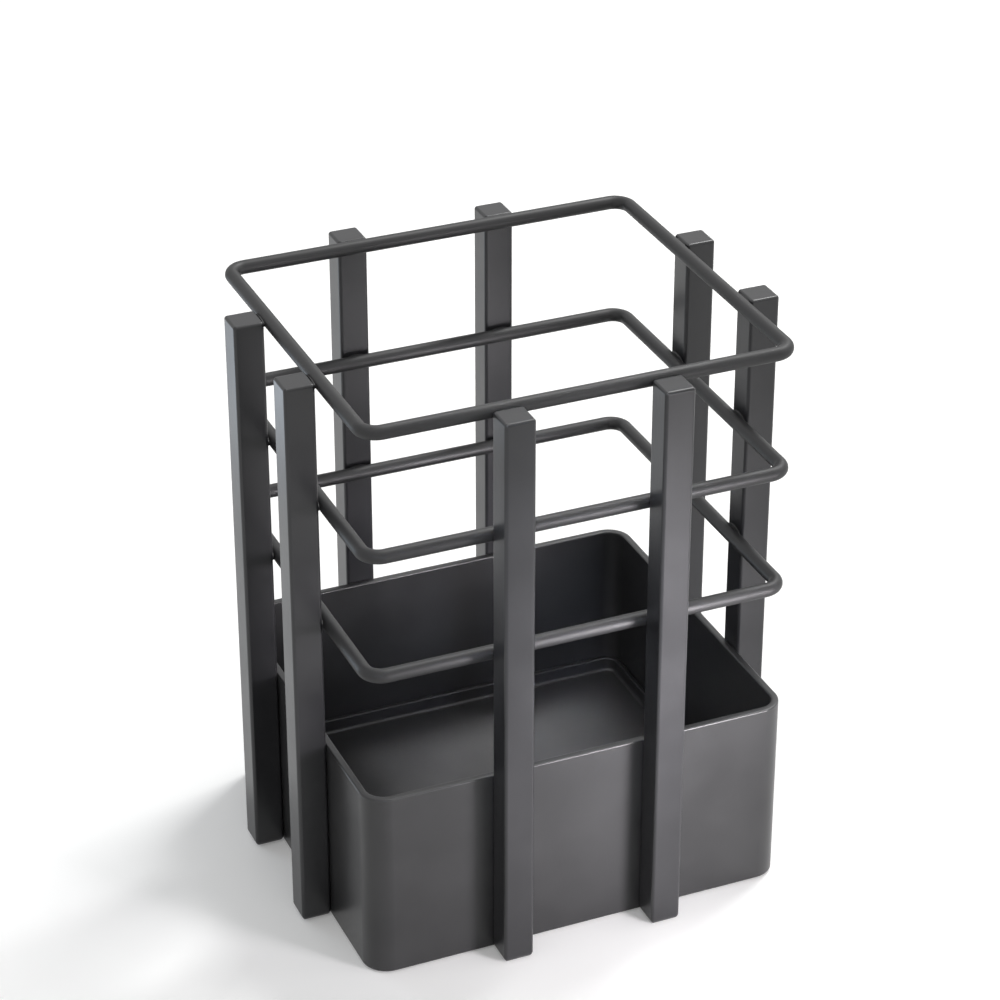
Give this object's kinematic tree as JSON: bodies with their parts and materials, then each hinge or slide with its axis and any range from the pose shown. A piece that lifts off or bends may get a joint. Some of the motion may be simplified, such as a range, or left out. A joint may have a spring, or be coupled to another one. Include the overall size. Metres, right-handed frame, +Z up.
{
  "type": "flatware holder",
  "caption": "Free-standing holder for upright flatware: a shallow sheet-metal tray with a raised floor inside square posts that are joined by closed wire hoops.",
  "frame": {"origin": "on the ground, under the middle of the holder", "axes": "+Z up; the wide sides face -Y (front) and +Y (back), the narrow sides face -X (left) and +X (right)"},
  "size_m": [0.1054, 0.0944, 0.1249],
  "materials": {
    "black_powder_coat": "satin, very finely textured"
  },
  "bodies": {
    "root": {"post_front_left": "black_powder_coat", "post_front_right": "black_powder_coat", "post_right_front": "black_powder_coat", "post_right_back": "black_powder_coat", "post_back_right": "black_powder_coat", "post_back_left": "black_powder_coat", "post_left_back": "black_powder_coat", "post_left_front": "black_powder_coat", "hoop_lower": "black_powder_coat", "hoop_middle": "black_powder_coat", "hoop_top": "black_powder_coat", "hoop_lower_welds": "black_powder_coat", "hoop_middle_welds": "black_powder_coat", "hoop_top_welds": "black_powder_coat", "tray_wall": "black_powder_coat", "tray_floor": "black_powder_coat"}
  },
  "joints": []
}
